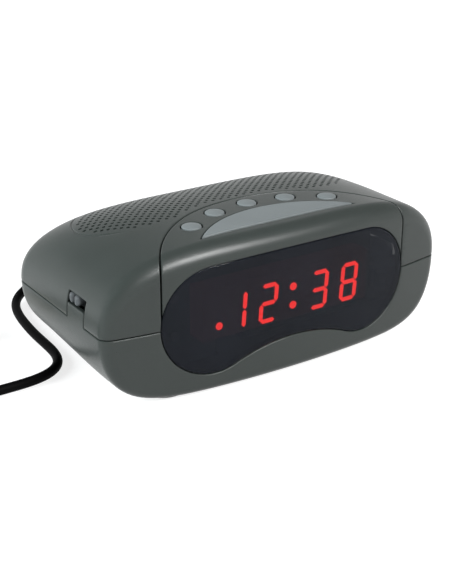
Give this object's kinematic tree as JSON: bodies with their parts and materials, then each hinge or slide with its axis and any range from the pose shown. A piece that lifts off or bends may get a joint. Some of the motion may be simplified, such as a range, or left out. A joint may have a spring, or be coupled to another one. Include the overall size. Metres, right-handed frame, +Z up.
{
  "type": "clock radio",
  "caption": "Mains clock radio with a loaf-shaped case, bowed smoked display window, arc of top buttons, half-moon snooze bar, side switches and a coiled lead.",
  "frame": {"origin": "middle of the case on the table, at the bottom of its feet", "axes": "+X to the object's left-to-right as seen from the front, +Y from the display towards the back, +Z up"},
  "size_m": [0.3509, 0.1707, 0.082],
  "materials": {
    "case_plastic": "fine moulded texture",
    "key_plastic": "satin",
    "knob_plastic": "satin",
    "dark_plastic": "satin",
    "smoked_window": "polished",
    "display_module": "matt",
    "led_red": "lit",
    "circuit_board": "satin",
    "pale_plastic": "satin",
    "plated_steel": "plated",
    "core_steel": "dull",
    "copper_winding": "enamelled",
    "foot_rubber": "matt",
    "lead_sheath": "satin",
    "pin_brass": "bright"
  },
  "bodies": {
    "case": {"lower_case": "case_plastic", "upper_case": "case_plastic", "control_panel": "case_plastic", "display_lens": "smoked_window", "led_display": "display_module", "led_segments": "led_red", "display_board": "circuit_board", "main_board": "circuit_board", "key_board": "circuit_board", "key_switches": "dark_plastic", "function_switch_body": "dark_plastic", "band_switch_body": "dark_plastic", "volume_control": "pale_plastic", "tuning_capacitor": "pale_plastic", "battery_snap": "dark_plastic", "speaker_frame": "plated_steel", "speaker_cone": "dark_plastic", "speaker_magnet": "core_steel", "transformer_core": "core_steel", "transformer_winding": "copper_winding", "transformer_bracket": "plated_steel", "ferrite_rod": "core_steel", "antenna_coil": "copper_winding", "antenna_holders": "pale_plastic", "smoothing_capacitors": "dark_plastic", "radio_chips": "dark_plastic", "tuned_coils": "plated_steel", "case_screws": "plated_steel", "main_board_screws": "plated_steel", "display_screws": "plated_steel", "key_board_screws": "plated_steel", "speaker_screws": "plated_steel", "transformer_screws": "plated_steel", "rubber_feet": "foot_rubber", "cord_grip": "foot_rubber", "mains_cord": "lead_sheath", "cord_coil": "lead_sheath", "cord_tie": "foot_rubber", "plug_body": "lead_sheath", "plug_pins": "pin_brass"},
    "alarm_button": {"alarm_button": "key_plastic"},
    "time_button": {"time_button": "key_plastic"},
    "sleep_button": {"sleep_button": "key_plastic"},
    "hour_button": {"hour_button": "key_plastic"},
    "minute_button": {"minute_button": "key_plastic"},
    "snooze_bar": {"snooze_bar": "key_plastic"},
    "function_switch_knob": {"function_switch_knob": "knob_plastic"},
    "band_switch_knob": {"band_switch_knob": "dark_plastic"},
    "volume_wheel": {"volume_wheel": "dark_plastic"},
    "tuning_wheel": {"tuning_wheel": "dark_plastic"},
    "battery_door": {"battery_door": "case_plastic"}
  },
  "joints": [
    {"name": "press_alarm", "type": "slide", "parent": "case", "child": "alarm_button", "axis": [0, 0, -1], "range_m": [0, 0.0008], "stiffness_N_per_m": 1500, "springref_m": -0.0002},
    {"name": "press_time", "type": "slide", "parent": "case", "child": "time_button", "axis": [0, 0, -1], "range_m": [0, 0.0008], "stiffness_N_per_m": 1500, "springref_m": -0.0002},
    {"name": "press_sleep", "type": "slide", "parent": "case", "child": "sleep_button", "axis": [0, 0, -1], "range_m": [0, 0.0008], "stiffness_N_per_m": 1500, "springref_m": -0.0002},
    {"name": "press_hour", "type": "slide", "parent": "case", "child": "hour_button", "axis": [0, 0, -1], "range_m": [0, 0.0008], "stiffness_N_per_m": 1500, "springref_m": -0.0002},
    {"name": "press_minute", "type": "slide", "parent": "case", "child": "minute_button", "axis": [0, 0, -1], "range_m": [0, 0.0008], "stiffness_N_per_m": 1500, "springref_m": -0.0002},
    {"name": "press_snooze", "type": "slide", "parent": "case", "child": "snooze_bar", "axis": [0, 0, -1], "range_m": [0, 0.0012], "stiffness_N_per_m": 1500, "springref_m": -0.0002},
    {"name": "slide_function", "type": "slide", "parent": "case", "child": "function_switch_knob", "axis": [0, -1, 0], "range_m": [0, 0.0065]},
    {"name": "slide_band", "type": "slide", "parent": "case", "child": "band_switch_knob", "axis": [0, -1, 0], "range_m": [0, 0.004]},
    {"name": "turn_volume", "type": "hinge", "parent": "case", "child": "volume_wheel", "pos_m": [0.09097, -0.0015, 0.0321], "axis": [0, 0, 1], "range_deg": [0, 270]},
    {"name": "turn_tuning", "type": "hinge", "parent": "case", "child": "tuning_wheel", "pos_m": [0.09097, 0.0335, 0.0321], "axis": [0, 0, 1], "range_deg": [-150, 150]},
    {"name": "slide_battery_door", "type": "slide", "parent": "case", "child": "battery_door", "axis": [-1, 0, 0], "range_m": [0, 0.025]}
  ]
}
